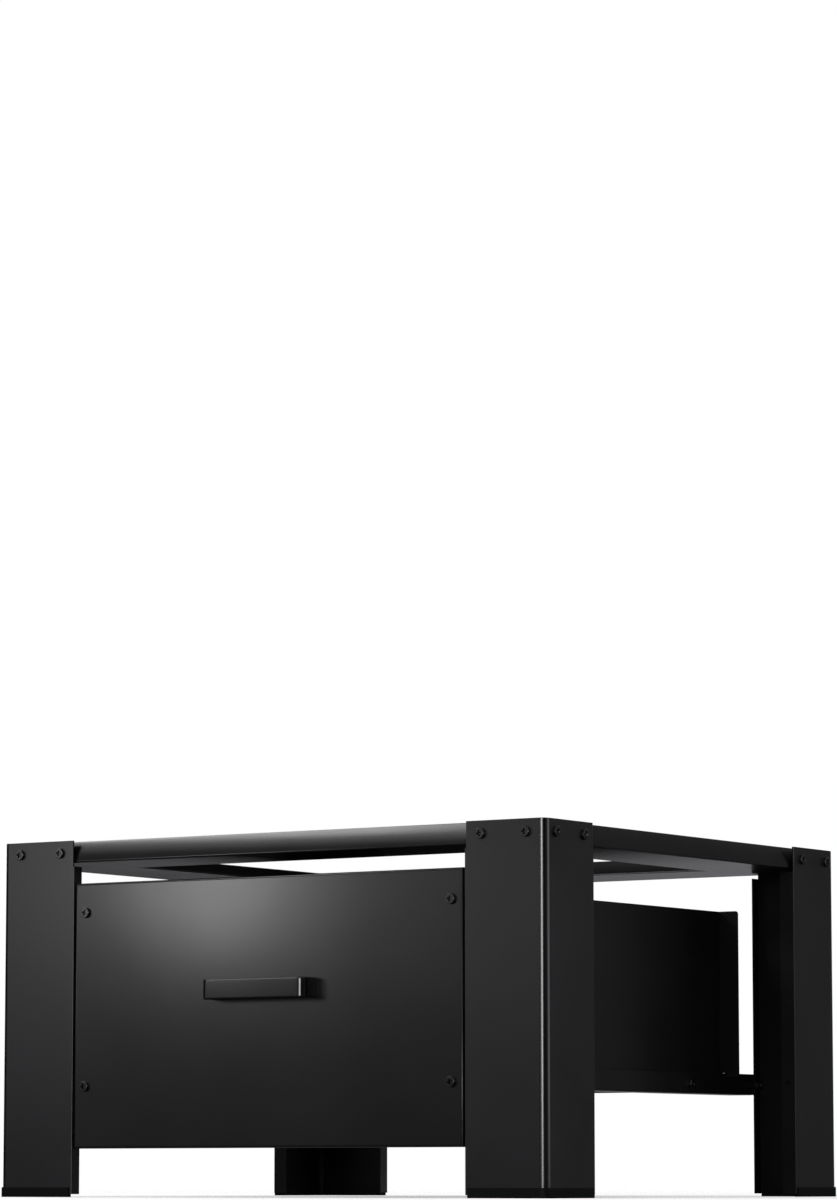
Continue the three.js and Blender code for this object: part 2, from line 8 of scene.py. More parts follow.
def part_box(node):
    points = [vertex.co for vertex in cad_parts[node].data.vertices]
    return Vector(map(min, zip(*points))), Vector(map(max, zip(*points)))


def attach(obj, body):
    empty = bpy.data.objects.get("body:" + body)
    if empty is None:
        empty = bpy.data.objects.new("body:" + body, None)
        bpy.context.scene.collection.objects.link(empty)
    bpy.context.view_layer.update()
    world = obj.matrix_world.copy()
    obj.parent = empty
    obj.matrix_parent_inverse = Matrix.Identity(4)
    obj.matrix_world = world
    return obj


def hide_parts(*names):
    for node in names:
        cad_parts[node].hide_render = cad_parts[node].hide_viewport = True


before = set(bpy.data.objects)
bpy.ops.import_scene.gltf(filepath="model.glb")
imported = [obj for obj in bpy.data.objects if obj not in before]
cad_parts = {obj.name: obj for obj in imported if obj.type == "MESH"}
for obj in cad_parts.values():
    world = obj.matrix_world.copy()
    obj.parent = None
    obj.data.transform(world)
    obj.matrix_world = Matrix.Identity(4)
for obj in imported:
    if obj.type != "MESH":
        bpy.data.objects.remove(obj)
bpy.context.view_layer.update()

MM = 0.001

# ---- Camera -------------------------------------------------------------------
# The camera stands a few metres off, to the right of the drawer's front and
# close to the ground, and looks slightly up.

CAMERA_PLACE = (2.59788, -3.90310, 0.01879)
CAMERA_TURN = 33.645
CAMERA_RISE = 6.979
CAMERA_LENS = 141.54

bpy.ops.object.camera_add(
    location=CAMERA_PLACE,
    rotation=(math.radians(90 + CAMERA_RISE), 0, math.radians(CAMERA_TURN)),
)
camera = bpy.context.object
camera.data.lens = CAMERA_LENS
bpy.context.scene.camera = camera

# ---- Legs ---------------------------------------------------------------------
# Each leg is one 2 mm steel blank, bent on a press brake to a front and a side
# face with a lip along both free edges, and powder coated black. The lips end
# below the top rail, and the holes are punched before bending.

LEG_SHEET = 2 * MM
LEG_SKIN = LEG_SHEET / 2
LEG_CORNER_BEND = 6.5 * MM
LEG_LIP_ROUND = 0.6 * MM
LEG_FRONT_LIP = 12.5 * MM
LEG_SIDE_LIP = 15.5 * MM
LEG_NOTCH_HEIGHT = 25.2 * MM
LEG_NOTCH_INSET = 1.5 * MM
LEG_EDGE = 0.3 * MM
SPARE_HOLE_INSET = 8 * MM
HOLE_RADIUS = 2.3 * MM
DRILL_SIDES = 24
BEND_SEGMENTS = 8
SHARP_ANGLE = math.radians(40)
SAME_PLACE = 0.02 * MM
PEEL_SIZE = 1.5 * MM
PEEL_DEPTH = 0.02 * MM
PEEL_STRENGTH = 0.05
DRIFT_SIZE = 90 * MM
SPECK_SIZE = 0.6 * MM
SPECK_ROUGH = 0.015
# Nearly all values of a noise texture lie between these two.
NOISE_LOW, NOISE_HIGH = 0.3, 0.7

leg_low, leg_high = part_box("leg_front_left")
STAND_MIDDLE = (leg_low.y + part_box("leg_rear_left")[1].y) / 2
CORNERS = [
    ("front_left", 1, 1),
    ("front_right", -1, 1),
    ("rear_left", 1, -1),
    ("rear_right", -1, -1),
]


def start_fresh():
    """Leaves edit mode and deselects everything."""
    if bpy.context.object and bpy.context.object.mode == "EDIT":
        bpy.ops.object.mode_set(mode="OBJECT")
    bpy.ops.object.select_all(action="DESELECT")


def select_only(piece):
    start_fresh()
    piece.select_set(True)
    bpy.context.view_layer.objects.active = piece


def open_mesh(piece):
    """Opens one piece in edit mode, with its whole mesh selected."""
    select_only(piece)
    bpy.ops.object.mode_set(mode="EDIT")
    bpy.ops.mesh.select_mode(type="VERT")
    bpy.ops.mesh.select_all(action="SELECT")


def add_plane(name, low, high):
    """A flat rectangle between two corners that share one coordinate."""
    low, high = Vector(low), Vector(high)
    size = high - low
    thin = min(range(3), key=lambda axis: abs(size[axis]))
    turn, spans = [
        ((0, math.pi / 2, 0), (size.z, size.y, 1)),
        ((math.pi / 2, 0, 0), (size.x, size.z, 1)),
        ((0, 0, 0), (size.x, size.y, 1)),
    ][thin]
    start_fresh()
    bpy.ops.mesh.primitive_plane_add(size=1, location=(low + high) / 2, rotation=turn)
    piece = bpy.context.object
    piece.name = name
    piece.scale = spans
    bpy.ops.object.transform_apply()
    return piece


def add_block(name, low, high):
    """A block between two opposite corners."""
    low, high = Vector(low), Vector(high)
    start_fresh()
    bpy.ops.mesh.primitive_cube_add(size=1, location=(low + high) / 2)
    piece = bpy.context.object
    piece.name = name
    piece.scale = high - low
    bpy.ops.object.transform_apply()
    return piece


def pick(test):
    """In edit mode, selects the edges and faces whose points all pass the test."""
    mesh = bmesh.from_edit_mesh(bpy.context.object.data)
    bpy.ops.mesh.select_all(action="DESELECT")
    bpy.ops.mesh.select_mode(type="VERT")
    for vertex in mesh.verts:
        vertex.select_set(test(vertex.co))
    mesh.select_flush(True)
    bmesh.update_edit_mesh(bpy.context.object.data)


def near(value, target):
    return abs(value - target) < SAME_PLACE


def pull(x=0, y=0, z=0):
    """Extrudes the selected edges and moves the new ones."""
    bpy.ops.mesh.extrude_region_move(TRANSFORM_OT_translate={"value": (x, y, z)})


def round_bend(test, radius):
    """Rounds the bend line whose points pass the test."""
    pick(test)
    bpy.ops.mesh.bevel(offset=radius, segments=BEND_SEGMENTS, affect="EDGES")


def use_modifier(piece, kind, **settings):
    """Adds one modifier and applies it."""
    select_only(piece)
    modifier = piece.modifiers.new(kind.lower(), kind)
    for name, value in settings.items():
        setattr(modifier, name, value)
    bpy.ops.object.modifier_apply(modifier=modifier.name)


def face_outward(piece):
    open_mesh(piece)
    bpy.ops.mesh.normals_make_consistent(inside=False)
    bpy.ops.object.mode_set(mode="OBJECT")


def give_thickness(piece, sheet):
    """Turns the middle surface of a bent sheet into the sheet."""
    face_outward(piece)
    use_modifier(piece, "SOLIDIFY", thickness=sheet, offset=0, use_even_offset=True)
    face_outward(piece)


def cut_away(piece, tools):
    """Takes the tools' shapes out of a piece, and deletes the tools."""
    for tool in tools:
        use_modifier(piece, "BOOLEAN", operation="DIFFERENCE", solver="EXACT", object=tool)
        bpy.data.objects.remove(tool)


def add_drill(place, way, radius, length):
    """A rod for punching a hole. `way` is the hole's axis: x, y or z."""
    turn = {"x": (0, math.pi / 2, 0), "y": (math.pi / 2, 0, 0), "z": (0, 0, 0)}[way]
    start_fresh()
    bpy.ops.mesh.primitive_cylinder_add(
        vertices=DRILL_SIDES, radius=radius, depth=length, location=place, rotation=turn
    )
    bpy.ops.object.transform_apply()
    return bpy.context.object


def mirrored_copy(piece, name, across, along):
    """A copy with its own mesh, mirrored to the right (-1) or to the rear (-1)."""
    select_only(piece)
    bpy.ops.object.duplicate()
    copy = bpy.context.object
    copy.name = name
    copy.scale = (across, along, 1)
    copy.location = (0, STAND_MIDDLE * (1 - along), 0)
    bpy.ops.object.transform_apply()
    face_outward(copy)
    return copy


def soften(piece, radius, segments=2):
    """Rounds the sharp edges a little and shades the piece, flat where it is flat."""
    use_modifier(
        piece,
        "BEVEL",
        width=radius,
        segments=segments,
        limit_method="ANGLE",
        angle_limit=SHARP_ANGLE,
        use_clamp_overlap=False,
        harden_normals=False,
    )
    select_only(piece)
    bpy.ops.object.shade_smooth_by_angle(angle=SHARP_ANGLE)
    use_modifier(piece, "WEIGHTED_NORMAL", keep_sharp=True)


def to_linear(hex_colour):
    """An sRGB hex colour as the linear colour that the shader takes."""
    channels = [int(hex_colour[start : start + 2], 16) / 255 for start in (1, 3, 5)]
    linear = [
        value / 12.92 if value <= 0.04045 else ((value + 0.055) / 1.055) ** 2.4
        for value in channels
    ]
    return (*linear, 1)


def new_material(name):
    """An empty material with its output and its shader, which are linked."""
    material = bpy.data.materials.new(name)
    material.use_nodes = True
    tree = material.node_tree
    tree.nodes.clear()
    output = tree.nodes.new("ShaderNodeOutputMaterial")
    shader = tree.nodes.new("ShaderNodeBsdfPrincipled")
    tree.links.new(shader.outputs[0], output.inputs["Surface"])
    return material, tree, shader


def add_node(tree, kind, inputs, **settings):
    """Adds a node. An input is a value to set or another node's output to link."""
    node = tree.nodes.new("ShaderNode" + kind)
    for name, value in settings.items():
        setattr(node, name, value)
    for name, value in inputs.items():
        if isinstance(value, bpy.types.NodeSocket):
            tree.links.new(value, node.inputs[name])
        else:
            node.inputs[name].default_value = value
    return node


def make_powder_coat(name, least_rough, most_rough, sheen=0.5, tones=("#050506", "#08080a")):
    """Black powder coat, sprayed on and baked over the bent steel. It gives a
    faint orange peel from hump to hump, a fine speckle in the gloss, and a tone
    and gloss that drift a little where the film is thicker or thinner."""
    material, tree, shader = new_material(name)
    place = add_node(tree, "TexCoord", {}).outputs["Object"]
    peel = add_node(tree, "TexNoise", {"Vector": place, "Scale": 1 / PEEL_SIZE, "Detail": 2.0})
    drift = add_node(tree, "TexNoise", {"Vector": place, "Scale": 1 / DRIFT_SIZE, "Detail": 3.0})
    speck = add_node(tree, "TexNoise", {"Vector": place, "Scale": 1 / SPECK_SIZE, "Detail": 1.0})
    tone = add_node(tree, "ValToRGB", {"Fac": drift.outputs["Fac"]})
    tone.color_ramp.elements[0].position = NOISE_LOW
    tone.color_ramp.elements[0].color = to_linear(tones[0])
    tone.color_ramp.elements[1].position = NOISE_HIGH
    tone.color_ramp.elements[1].color = to_linear(tones[1])
    gloss = add_node(
        tree,
        "MapRange",
        {
            "Value": drift.outputs["Fac"],
            "From Min": NOISE_LOW,
            "From Max": NOISE_HIGH,
            "To Min": least_rough,
            "To Max": most_rough,
        },
    )
    grain = add_node(
        tree,
        "MapRange",
        {
            "Value": speck.outputs["Fac"],
            "From Min": NOISE_LOW,
            "From Max": NOISE_HIGH,
            "To Min": -SPECK_ROUGH,
            "To Max": SPECK_ROUGH,
        },
    )
    rough = add_node(tree, "Math", {0: gloss.outputs[0], 1: grain.outputs[0]}, operation="ADD")
    bump = add_node(
        tree,
        "Bump",
        {"Height": peel.outputs["Fac"], "Strength": PEEL_STRENGTH, "Distance": PEEL_DEPTH},
    )
    tree.links.new(tone.outputs["Color"], shader.inputs["Base Color"])
    tree.links.new(rough.outputs[0], shader.inputs["Roughness"])
    tree.links.new(bump.outputs["Normal"], shader.inputs["Normal"])
    shader.inputs["IOR"].default_value = 1.5
    shader.inputs["Specular IOR Level"].default_value = sheen
    return material


def hand_over(piece, body, slot, material, *nodes):
    """Gives a finished piece its material, its body and the nodes it stands for."""
    piece.data.materials.clear()
    piece.data.materials.append(material)
    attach(piece, body)
    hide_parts(*nodes)


def make_leg(low, high):
    """The front left leg: front wing, lip, side wing and lip, as pulled edges."""
    outer_x, outer_y = low.x + LEG_SKIN, low.y + LEG_SKIN
    end_x, end_y = high.x - LEG_SKIN, high.y - LEG_SKIN
    leg = add_plane("leg_front_left", (outer_x, outer_y, low.z), (end_x, outer_y, high.z))
    open_mesh(leg)
    pick(lambda at: near(at.x, end_x))
    pull(y=LEG_FRONT_LIP - LEG_SKIN)
    pick(lambda at: near(at.x, outer_x))
    pull(y=end_y - outer_y)
    pick(lambda at: near(at.y, end_y))
    pull(x=LEG_SIDE_LIP - LEG_SKIN)
    round_bend(lambda at: near(at.x, outer_x) and near(at.y, outer_y), LEG_CORNER_BEND)
    give_thickness(leg, LEG_SHEET)
    open_mesh(leg)
    round_bend(lambda at: near(at.x, high.x) and near(at.y, low.y), LEG_LIP_ROUND)
    round_bend(lambda at: near(at.x, low.x) and near(at.y, high.y), LEG_LIP_ROUND)
    bpy.ops.object.mode_set(mode="OBJECT")
    return leg


def coat_leg(leg, node, bend_material, inside_shade_material):
    """Gives the outer bend a coat that dries glossier, as the film draws thin there, and the
    inside a darker coat with almost no sheen, which is painted shade for the shade inside the
    leg's channel."""
    low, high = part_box(node)
    size = high - low
    radius = LEG_CORNER_BEND + LEG_SKIN
    outer_layer = LEG_SKIN / 4
    corner_x = low.x if low.x < 0 else high.x
    corner_y = low.y if low.y < STAND_MIDDLE else high.y
    leg.data.materials.append(bend_material)
    leg.data.materials.append(inside_shade_material)
    # Faces in the outer bend get the glossy coat; faces inside the channel get the dull coat,
    # which is painted shade.
    for face in leg.data.polygons:
        from_x = abs(face.center.x - corner_x)
        from_y = abs(face.center.y - corner_y)
        from_centre = math.hypot(radius - from_x, radius - from_y)
        if from_x < radius and from_y < radius:
            face.material_index = 1 if from_centre > radius - LEG_SKIN else 2
        elif min(from_x, from_y, size.x - from_x) > outer_layer:
            face.material_index = 2


def notch_tools(low, high):
    """Blocks that take the lips off above the notch."""
    notch_z = high.z - LEG_NOTCH_HEIGHT
    over = 5 * MM
    behind = LEG_SHEET + 0.05 * MM
    beside = LEG_SHEET + 4 * MM
    boxes = [
        ((high.x - LEG_NOTCH_INSET, low.y - over), (high.x + over, low.y + LEG_FRONT_LIP + over)),
        ((high.x - beside, low.y + behind), (high.x + over, low.y + LEG_FRONT_LIP + over)),
        ((low.x - over, high.y - LEG_NOTCH_INSET), (low.x + LEG_SIDE_LIP + over, high.y + over)),
        ((low.x + behind, high.y - beside), (low.x + LEG_SIDE_LIP + over, high.y + over)),
    ]
    return [
        add_block("notch", (*start, notch_z), (*end, high.z + over)) for start, end in boxes
    ]


def leg_hole_tools(low, high):
    """Drills for the rail screws, the runner's screw and the spare hole."""
    depth = 3 * LEG_SHEET
    tools = []
    for label in ("outer", "inner"):
        for kind, way in (("front", "y"), ("side", "x")):
            start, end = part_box(f"{kind}_rail_screw_front_left_{label}")
            middle = (start + end) / 2
            face = (middle.x, low.y, middle.z) if way == "y" else (low.x, middle.y, middle.z)
            tools.append(add_drill(face, way, HOLE_RADIUS, depth))
    start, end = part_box("runner_screw_front_left")
    middle = (start + end) / 2
    tools.append(add_drill((high.x - LEG_SKIN, middle.y, middle.z), "x", HOLE_RADIUS, depth))
    spare = (low.x + SPARE_HOLE_INSET, high.y - LEG_SKIN, middle.z)
    tools.append(add_drill(spare, "y", HOLE_RADIUS, depth))
    return tools


satin_coat = make_powder_coat("satin_black_powder_coat", 0.28, 0.32, tones=("#0a0a0c", "#0e0e11"))
glossy_coat = make_powder_coat("semigloss_black_powder_coat", 0.19, 0.22)
# Its darker tone and faint sheen are painted shade, for the insides of the legs and the drawer's
# back, which lie in shade.
painted_shade_coat = make_powder_coat("painted_shade_black_powder_coat", 0.5, 0.6, sheen=0.12)
first_leg = make_leg(leg_low, leg_high)
cut_away(first_leg, notch_tools(leg_low, leg_high))
cut_away(first_leg, leg_hole_tools(leg_low, leg_high))
for corner, across, along in CORNERS:
    leg = mirrored_copy(first_leg, f"coated_leg_{corner}", across, along)
    soften(leg, LEG_EDGE)
    hand_over(leg, "stand", "black_coat", satin_coat, f"leg_{corner}")
    coat_leg(leg, f"leg_{corner}", glossy_coat, painted_shade_coat)
bpy.data.objects.remove(first_leg)

# ---- Foot caps ----------------------------------------------------------------
# A black polypropylene channel, injection moulded, is pushed onto the foot of
# each leg as far as the lips, so that the bare steel doesn't stand on the floor.

CAP_BASE = 2.5 * MM
CAP_SLOT = 2.6 * MM
CAP_WALL = 1.2 * MM
CAP_END_GAP = 3.05 * MM
CAP_EDGE = 0.4 * MM


def make_cap_plastic():
    """Black polypropylene from a fine spark-eroded mould. It gives a dull, even
    skin with a grain of about 0.5 mm, whose pits swallow most of the sheen."""
    material, tree, shader = new_material("moulded_black_polypropylene")
    place = add_node(tree, "TexCoord", {}).outputs["Object"]
    grain = add_node(
        tree, "TexNoise", {"Vector": place, "Scale": 1 / (0.5 * MM), "Detail": 3.0}
    )
    tone = add_node(tree, "ValToRGB", {"Fac": grain.outputs["Fac"]})
    tone.color_ramp.elements[0].color = to_linear("#030304")
    tone.color_ramp.elements[1].color = to_linear("#060607")
    gloss = add_node(
        tree, "MapRange", {"Value": grain.outputs["Fac"], "To Min": 0.5, "To Max": 0.66}
    )
    bump = add_node(
        tree, "Bump", {"Height": grain.outputs["Fac"], "Strength": 0.3, "Distance": 0.05 * MM}
    )
    tree.links.new(tone.outputs["Color"], shader.inputs["Base Color"])
    tree.links.new(gloss.outputs[0], shader.inputs["Roughness"])
    tree.links.new(bump.outputs["Normal"], shader.inputs["Normal"])
    shader.inputs["IOR"].default_value = 1.49
    shader.inputs["Specular IOR Level"].default_value = 0.1
    return material


def make_angle_wall(name, low_z, high_z, end_gap, thickness):
    """An upright wall that follows the middle of the leg's front and side faces."""
    outer_x, outer_y = leg_low.x + LEG_SKIN, leg_low.y + LEG_SKIN
    end_x, end_y = leg_high.x - end_gap, leg_high.y - end_gap
    wall = add_plane(name, (outer_x, outer_y, low_z), (end_x, outer_y, high_z))
    open_mesh(wall)
    pick(lambda at: near(at.x, outer_x))
    pull(y=end_y - outer_y)
    round_bend(lambda at: near(at.x, outer_x) and near(at.y, outer_y), LEG_CORNER_BEND)
    give_thickness(wall, thickness)
    return wall


cap_plastic = make_cap_plastic()
cap_low, cap_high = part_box("foot_cap_front_left")
first_cap = make_angle_wall(
    "first_cap", cap_low.z, cap_high.z, CAP_END_GAP, CAP_SLOT + 2 * CAP_WALL
)
cut_away(
    first_cap,
    [make_angle_wall("groove", cap_low.z + CAP_BASE, 2 * cap_high.z, -CAP_END_GAP, CAP_SLOT)],
)
for corner, across, along in CORNERS:
    cap = mirrored_copy(first_cap, f"moulded_cap_{corner}", across, along)
    soften(cap, CAP_EDGE, segments=3)
    hand_over(cap, "stand", "cap_plastic", cap_plastic, f"foot_cap_{corner}")
bpy.data.objects.remove(first_cap)

# ---- Top rails ----------------------------------------------------------------
# Four rolled steel angles make the top frame. Each has a low upright web, which
# the rolls leave leaning back more and more to its top, and a wide flange. Their
# corners are mitred, and powder coat covers them all round.

RAIL_SHEET = 1.5 * MM
RAIL_SKIN = RAIL_SHEET / 2
RAIL_BEND = 1.1 * MM
RAIL_BOW_RADIUS = 90 * MM
RAIL_BOW_START = 12 * MM
RAIL_WEB_STEPS = 10
RAIL_EDGE = 0.3 * MM
RAIL_DRILL_LENGTH = 15 * MM
MITRE_GAP = 0.3 * MM


def bow(height):
    """How far the web falls back at a height over its underside."""
    return (height + RAIL_BOW_START) ** 2 / (2 * RAIL_BOW_RADIUS)


def make_rail(low, high, outward):
    """The front rail (outward "y") or the left rail (outward "x")."""
    start, end = low.copy(), high.copy()
    start.z = end.z = low.z + RAIL_SKIN
    outer = getattr(low, outward) + RAIL_SKIN + bow(RAIL_SKIN)
    setattr(start, outward, outer)
    rail = add_plane("first_rail", start, end)
    open_mesh(rail)
    pick(lambda at: near(getattr(at, outward), outer))
    edge_rise = RAIL_SKIN * (high.z - low.z + RAIL_BOW_START) / RAIL_BOW_RADIUS
    step = (high.z - edge_rise - start.z) / RAIL_WEB_STEPS
    for index in range(RAIL_WEB_STEPS):
        below = RAIL_SKIN + index * step
        pull(z=step, **{outward: bow(below + step) - bow(below)})
    round_bend(lambda at: near(at.z, start.z) and near(getattr(at, outward), outer), RAIL_BEND)
    give_thickness(rail, RAIL_SHEET)
    return rail


def saw_off(piece, place, way):
    """Cuts the piece by a plane and drops what lies on the side of `way`."""
    open_mesh(piece)
    bpy.ops.mesh.bisect(plane_co=place, plane_no=way, use_fill=True, clear_outer=True)
    bpy.ops.object.mode_set(mode="OBJECT")


def rail_hole_tools(kind, corners):
    """Drills for the rail's screws, where the record of the frame puts them."""
    tools = []
    for corner in corners:
        for label in ("outer", "inner"):
            start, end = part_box(f"{kind}_rail_screw_{corner}_{label}")
            way = "x" if kind == "side" else "y"
            tools.append(add_drill((start + end) / 2, way, HOLE_RADIUS, RAIL_DRILL_LENGTH))
    return tools


front_low, front_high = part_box("rail_front")
front_rail = make_rail(front_low, front_high, "y")
left_low, left_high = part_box("rail_left")
left_rail = make_rail(left_low, left_high, "x")
mitre = MITRE_GAP / 2
for side in (1, -1):
    corner_at = Vector((side * leg_low.x, leg_low.y, 0))
    inward = Vector((side * mitre * math.sqrt(2), 0, 0))
    saw_off(front_rail, corner_at + inward, (-side, 1, 0))
for end in (1, -1):
    corner_y = leg_low.y if end == 1 else 2 * STAND_MIDDLE - leg_low.y
    corner_at = Vector((leg_low.x, corner_y, 0))
    inward = Vector((0, end * mitre * math.sqrt(2), 0))
    saw_off(left_rail, corner_at + inward, (1, -end, 0))
cut_away(front_rail, rail_hole_tools("front", ["front_left", "front_right"]))
cut_away(left_rail, rail_hole_tools("side", ["front_left", "rear_left"]))
RAILS = [
    ("rail_front", front_rail, 1, 1),
    ("rail_rear", front_rail, 1, -1),
    ("rail_left", left_rail, 1, 1),
    ("rail_right", left_rail, -1, 1),
]
rail_coat = make_powder_coat("rail_black_powder_coat", 0.19, 0.22)
for node, model, across, along in RAILS:
    rail = mirrored_copy(model, f"coated_{node}", across, along)
    soften(rail, RAIL_EDGE)
    hand_over(rail, "stand", "black_coat", rail_coat, node)
bpy.data.objects.remove(front_rail)
bpy.data.objects.remove(left_rail)

# ---- Rail screws --------------------------------------------------------------
# Black zinc-plated pan-head screws with a cross recess, cold headed. Two go
# through each face of each leg into the rail behind, so they hold the frame.

# The radius and the height of the head, and the radius of the shank.
FRAME_SCREW = (5 * MM, 2.2 * MM, 2 * MM)
SCREW_SIDES = 32
SCREW_SHARP_ANGLE = math.radians(32)
# The head's outline from its rim to its crown, in shares of its radius and height.
# The crown is a little domed, and stands 0.8 mm over the height of the frame's head.
HEAD_PROFILE = [(1.0, 1.16), (0.985, 1.27), (0.95, 1.33), (0.9, 1.36)]
# The arms of the cross in shares of the head's radius, and the ends of its cutter
# in shares of the height. The taper is what its foot keeps of the arms.
RECESS_WIDTH = 0.19
RECESS_REACH = 0.64
RECESS_DEPTH = 0.75
RECESS_TOP = 1.6
RECESS_TAPER = 0.55
# The drives stand at five angles, this many degrees apart.
TURN_STEP = 7
WAYS = {
    "front": Vector((0, -1, 0)),
    "rear": Vector((0, 1, 0)),
    "left": Vector((-1, 0, 0)),
    "right": Vector((1, 0, 0)),
}


def make_screw_plating():
    """Black zinc plate, wiped and sealed. It gives a dark satin metal look with streaks of about
    2 mm."""
    material, tree, shader = new_material("black_zinc_plate")
    place = add_node(tree, "TexCoord", {}).outputs["Object"]
    streak = add_node(tree, "TexNoise", {"Vector": place, "Scale": 1 / (2 * MM), "Detail": 4.0})
    tone = add_node(tree, "ValToRGB", {"Fac": streak.outputs["Fac"]})
    tone.color_ramp.elements[0].color = to_linear("#060607")
    tone.color_ramp.elements[1].color = to_linear("#0a0a0c")
    gloss = add_node(
        tree, "MapRange", {"Value": streak.outputs["Fac"], "To Min": 0.18, "To Max": 0.28}
    )
    tree.links.new(tone.outputs["Color"], shader.inputs["Base Color"])
    tree.links.new(gloss.outputs[0], shader.inputs["Roughness"])
    shader.inputs["IOR"].default_value = 1.55
    return material


def grow_ring(radius, height, radius_before, height_before):
    """Extrudes the selected disc to the next radius and height of a turned shape."""
    bpy.ops.mesh.extrude_region_move(
        TRANSFORM_OT_translate={"value": (0, 0, height - height_before)}
    )
    share = radius / radius_before
    bpy.ops.transform.resize(value=(share, share, 1), center_override=(0, 0, height))


def make_recess(radius, height):
    """A tapered cross that cuts the drive into a screw head."""
    foot, top = height * (1 - RECESS_DEPTH), height * RECESS_TOP
    reach, width = radius * RECESS_REACH, radius * RECESS_WIDTH
    bars = []
    for x, y in ((reach, width), (width, reach)):
        bar = add_block("recess", (-x, -y, foot), (x, y, top))
        open_mesh(bar)
        pick(lambda at: at.z < height)
        bpy.ops.transform.resize(
            value=(RECESS_TAPER, RECESS_TAPER, 1), center_override=(0, 0, 0)
        )
        bpy.ops.object.mode_set(mode="OBJECT")
        bars.append(bar)
    return bars


def make_screw(radius, height, shank, length):
    """A screw with its head's underside at the origin and its head up."""
    start_fresh()
    bpy.ops.mesh.primitive_circle_add(
        vertices=SCREW_SIDES, radius=shank, fill_type="NGON", location=(0, 0, -length)
    )
    screw = bpy.context.object
    screw.name = "first_screw"
    bpy.ops.object.transform_apply()
    open_mesh(screw)
    grow_ring(shank, 0, shank, -length)
    grow_ring(radius, 0, shank, 0)
    before = (radius, 0)
    for radius_share, height_share in HEAD_PROFILE:
        after = (radius * radius_share, height * height_share)
        grow_ring(*after, *before)
        before = after
    face_outward(screw)
    cut_away(screw, make_recess(radius, height))
    select_only(screw)
    bpy.ops.object.shade_smooth_by_angle(angle=SCREW_SHARP_ANGLE)
    use_modifier(screw, "WEIGHTED_NORMAL", keep_sharp=True)
    return screw


def place_screw(model, node, way, turn, body):
    """A copy of the screw, with its head where the frame's screw has its own."""
    low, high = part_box(node)
    middle = (low + high) / 2
    axis = 0 if way.x else 1
    top = high[axis] if way[axis] > 0 else low[axis]
    middle[axis] = top - way[axis] * model["head_height"]
    select_only(model)
    bpy.ops.object.duplicate()
    screw = bpy.context.object
    screw.name = f"plated_{node}"
    facing = way.to_track_quat("Z", "Y").to_matrix().to_4x4()
    screw.matrix_world = (
        Matrix.Translation(middle) @ facing @ Matrix.Rotation(math.radians(turn), 4, "Z")
    )
    bpy.ops.object.transform_apply()
    hand_over(screw, body, "black_screw", screw_plating, node)


def add_screws(places, body, radius, height, shank):
    """Models one screw for a group of like ones and puts a copy at each place."""
    node, way = places[0]
    low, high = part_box(node)
    length = (high - low)[0 if way.x else 1] - height
    model = make_screw(radius, height, shank, length)
    model["head_height"] = height
    for index, (node, way) in enumerate(places):
        turn = TURN_STEP * ((3 * index) % 5 - 2)
        place_screw(model, node, way, turn, body)
    bpy.data.objects.remove(model)


screw_plating = make_screw_plating()
rail_screws = []
for corner, _, _ in CORNERS:
    end, side = corner.split("_")
    for label in ("outer", "inner"):
        rail_screws.append((f"{end}_rail_screw_{corner}_{label}", WAYS[end]))
        rail_screws.append((f"side_rail_screw_{corner}_{label}", WAYS[side]))
add_screws(rail_screws, "stand", *FRAME_SCREW)

# ---- Runners ------------------------------------------------------------------
# Two small steel angles cross from the lip of a front leg to the lip of a rear
# leg. Each hangs on a screw at both ends, and the drawer slides on its flange.

RUNNER_SHEET = 1.2 * MM
RUNNER_SKIN = RUNNER_SHEET / 2
RUNNER_BEND = 1.2 * MM
RUNNER_FLANGE_CUT = 9 * MM
RUNNER_EDGE = 0.2 * MM
SIDES = [("left", 1), ("right", -1)]


def make_runner(low, high):
    """The left runner: a flange with its outer edge pulled up to the web."""
    web_x, flange_z = low.x + RUNNER_SKIN, low.z + RUNNER_SKIN
    runner = add_plane("first_runner", (web_x, low.y, flange_z), (high.x, high.y, flange_z))
    open_mesh(runner)
    pick(lambda at: near(at.x, web_x))
    pull(z=high.z - flange_z)
    round_bend(lambda at: near(at.x, web_x) and near(at.z, flange_z), RUNNER_BEND)
    give_thickness(runner, RUNNER_SHEET)
    return runner


def runner_tools(low, high):
    """Blocks that shorten the flange at both ends, and drills for the screws."""
    over = 5 * MM
    inner_x = low.x + RUNNER_SHEET + SAME_PLACE
    flange_ends = [
        (low.y - over, low.y + RUNNER_FLANGE_CUT),
        (high.y - RUNNER_FLANGE_CUT, high.y + over),
    ]
    tools = [
        add_block(
            "flange_end", (inner_x, start_y, low.z - over), (high.x + over, end_y, high.z + over)
        )
        for start_y, end_y in flange_ends
    ]
    for kind in ("runner", "glide"):
        for end in ("front", "rear"):
            start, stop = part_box(f"{kind}_screw_{end}_left")
            middle = (start + stop) / 2
            middle.x = low.x
            tools.append(add_drill(middle, "x", HOLE_RADIUS, 4 * RUNNER_SHEET))
    return tools


runner_low, runner_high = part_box("runner_left")
first_runner = make_runner(runner_low, runner_high)
cut_away(first_runner, runner_tools(runner_low, runner_high))
for side, across in SIDES:
    runner = mirrored_copy(first_runner, f"coated_runner_{side}", across, 1)
    soften(runner, RUNNER_EDGE)
    hand_over(runner, "stand", "black_coat", satin_coat, f"runner_{side}")
bpy.data.objects.remove(first_runner)

# The heads of the runner screws lie inside the legs.
runner_screws = [
    (f"runner_screw_{corner}", WAYS[corner.split("_")[1]]) for corner, _, _ in CORNERS
]
add_screws(runner_screws, "stand", *FRAME_SCREW)

# ---- Glides -------------------------------------------------------------------
# Black nylon blocks, injection moulded, screwed to the runners. The drawer rests
# on their bases, and the front pair rises to a stop for the ears of its back.

